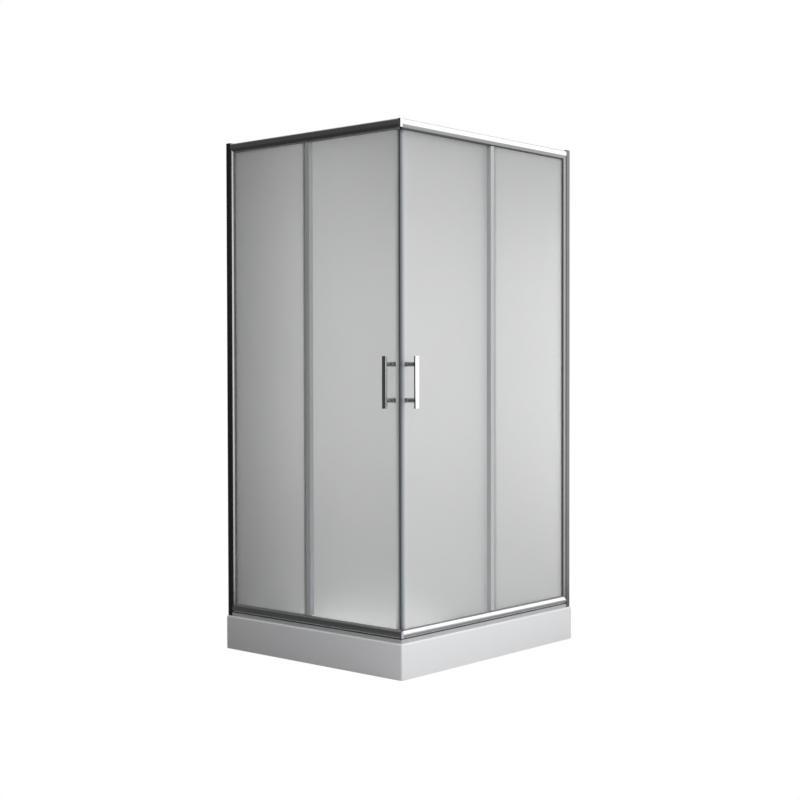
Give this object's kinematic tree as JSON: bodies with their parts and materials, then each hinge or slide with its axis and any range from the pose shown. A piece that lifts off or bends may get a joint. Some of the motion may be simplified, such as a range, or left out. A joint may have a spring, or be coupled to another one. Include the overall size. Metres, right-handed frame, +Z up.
{
  "type": "shower enclosure",
  "caption": "Rectangular corner entry shower enclosure: frosted glass in a polished aluminium frame, sliding doors on rollers meeting at the corner, bar handles, low acrylic tray with drain.",
  "frame": {"origin": "on the floor, below the middle of the whole object's plan, handles included", "axes": "+Z up; the entry corner is at +X and -Y, the glazed sides face -Y (front) and +X (side), and the two building walls are at -X and +Y"},
  "size_m": [0.915, 1.015, 1.919],
  "materials": {
    "acrylic": "gloss white sanitary acrylic",
    "steel": "zinc plated",
    "black_plastic": "satin black",
    "chrome": "polished chrome plate",
    "rubber": "dark glazing rubber",
    "white_plastic": "satin",
    "nylon": "natural nylon",
    "aluminium": "polished anodised",
    "dark_aluminium": "polished dark anodised",
    "frosted_glass": "satin frosted toughened glass",
    "clear_seal": "translucent grey PVC"
  },
  "bodies": {
    "enclosure": {"tray": "acrylic", "tray_tubes": "steel", "tray_foot_pads": "black_plastic", "tray_foot_rods": "steel", "tray_foot_nuts": "steel", "drain_flange": "chrome", "drain_gasket": "rubber", "trap_body": "white_plastic", "rail_bead": "white_plastic", "top_rail_front": "aluminium", "top_rail_side": "aluminium", "bottom_rail_front": "aluminium", "bottom_rail_side": "aluminium", "wall_profile_front": "dark_aluminium", "wall_profile_side": "dark_aluminium", "jamb_front": "aluminium", "jamb_side": "aluminium", "profile_caps": "dark_aluminium", "top_corner_connector": "chrome", "bottom_corner_connector": "chrome", "corner_screws": "steel", "jamb_screws": "steel", "fixed_glass_front": "frosted_glass", "fixed_glass_side": "frosted_glass", "glazing_gasket_front": "rubber", "glazing_gasket_side": "rubber", "fixed_seal_front": "clear_seal", "fixed_seal_side": "clear_seal", "door_stops": "black_plastic"},
    "door_front": {"door_glass_front": "frosted_glass", "magnet_seal_front": "clear_seal", "magnet_strip_front": "black_plastic", "door_seal_front": "clear_seal", "handle_bar_front": "chrome", "handle_posts_front": "chrome", "handle_washers_front": "black_plastic", "handle_screws_front": "chrome", "top_hubs_front": "chrome", "bottom_hubs_front": "chrome"},
    "door_side": {"door_glass_side": "frosted_glass", "magnet_seal_side": "clear_seal", "magnet_strip_side": "black_plastic", "door_seal_side": "clear_seal", "handle_bar_side": "chrome", "handle_posts_side": "chrome", "handle_washers_side": "black_plastic", "handle_screws_side": "chrome", "top_hubs_side": "chrome", "bottom_hubs_side": "chrome"},
    "drain_cover": {"drain_cover": "chrome"},
    "wheel_front_top_lead": {"wheel_front_top_lead": "nylon"},
    "wheel_front_top_trail": {"wheel_front_top_trail": "nylon"},
    "wheel_front_bottom_lead": {"wheel_front_bottom_lead": "nylon"},
    "wheel_front_bottom_trail": {"wheel_front_bottom_trail": "nylon"},
    "wheel_side_top_lead": {"wheel_side_top_lead": "nylon"},
    "wheel_side_top_trail": {"wheel_side_top_trail": "nylon"},
    "wheel_side_bottom_lead": {"wheel_side_bottom_lead": "nylon"},
    "wheel_side_bottom_trail": {"wheel_side_bottom_trail": "nylon"}
  },
  "joints": [
    {"name": "door_front_slide", "type": "slide", "parent": "enclosure", "child": "door_front", "axis": [-1, 0, 0], "range_m": [0, 0.34]},
    {"name": "door_side_slide", "type": "slide", "parent": "enclosure", "child": "door_side", "axis": [0, 1, 0], "range_m": [0, 0.39]},
    {"name": "wheel_front_top_lead_spin", "type": "hinge", "parent": "door_front", "child": "wheel_front_top_lead", "pos_m": [0.3325, -0.4422, 1.9005], "axis": [0, 1, 0], "range_deg": [-2310, 10]},
    {"name": "wheel_front_top_trail_spin", "type": "hinge", "parent": "door_front", "child": "wheel_front_top_trail", "pos_m": [-0.0035, -0.4422, 1.9005], "axis": [0, 1, 0], "range_deg": [-2310, 10]},
    {"name": "wheel_front_bottom_lead_spin", "type": "hinge", "parent": "door_front", "child": "wheel_front_bottom_lead", "pos_m": [0.3325, -0.4422, 0.15305], "axis": [0, 1, 0], "range_deg": [-2310, 10]},
    {"name": "wheel_front_bottom_trail_spin", "type": "hinge", "parent": "door_front", "child": "wheel_front_bottom_trail", "pos_m": [-0.0035, -0.4422, 0.15305], "axis": [0, 1, 0], "range_deg": [-2310, 10]},
    {"name": "wheel_side_top_lead_spin", "type": "hinge", "parent": "door_side", "child": "wheel_side_top_lead", "pos_m": [0.3922, -0.3825, 1.9005], "axis": [1, 0, 0], "range_deg": [-2640, 10]},
    {"name": "wheel_side_top_trail_spin", "type": "hinge", "parent": "door_side", "child": "wheel_side_top_trail", "pos_m": [0.3922, 0.0035, 1.9005], "axis": [1, 0, 0], "range_deg": [-2640, 10]},
    {"name": "wheel_side_bottom_lead_spin", "type": "hinge", "parent": "door_side", "child": "wheel_side_bottom_lead", "pos_m": [0.3922, -0.3825, 0.15305], "axis": [1, 0, 0], "range_deg": [-2640, 10]},
    {"name": "wheel_side_bottom_trail_spin", "type": "hinge", "parent": "door_side", "child": "wheel_side_bottom_trail", "pos_m": [0.3922, 0.0035, 0.15305], "axis": [1, 0, 0], "range_deg": [-2640, 10]},
    {"name": "drain_cover_lift", "type": "slide", "parent": "enclosure", "child": "drain_cover", "axis": [0, 0, 1], "range_m": [0, 0.05]}
  ],
  "couplings": [
    {"joint": "wheel_front_top_lead_spin", "follows": "door_front_slide", "rad_per_m": -117.65},
    {"joint": "wheel_front_top_trail_spin", "follows": "door_front_slide", "rad_per_m": -117.65},
    {"joint": "wheel_front_bottom_lead_spin", "follows": "door_front_slide", "rad_per_m": -117.65},
    {"joint": "wheel_front_bottom_trail_spin", "follows": "door_front_slide", "rad_per_m": -117.65},
    {"joint": "wheel_side_top_lead_spin", "follows": "door_side_slide", "rad_per_m": -117.65},
    {"joint": "wheel_side_top_trail_spin", "follows": "door_side_slide", "rad_per_m": -117.65},
    {"joint": "wheel_side_bottom_lead_spin", "follows": "door_side_slide", "rad_per_m": -117.65},
    {"joint": "wheel_side_bottom_trail_spin", "follows": "door_side_slide", "rad_per_m": -117.65}
  ]
}
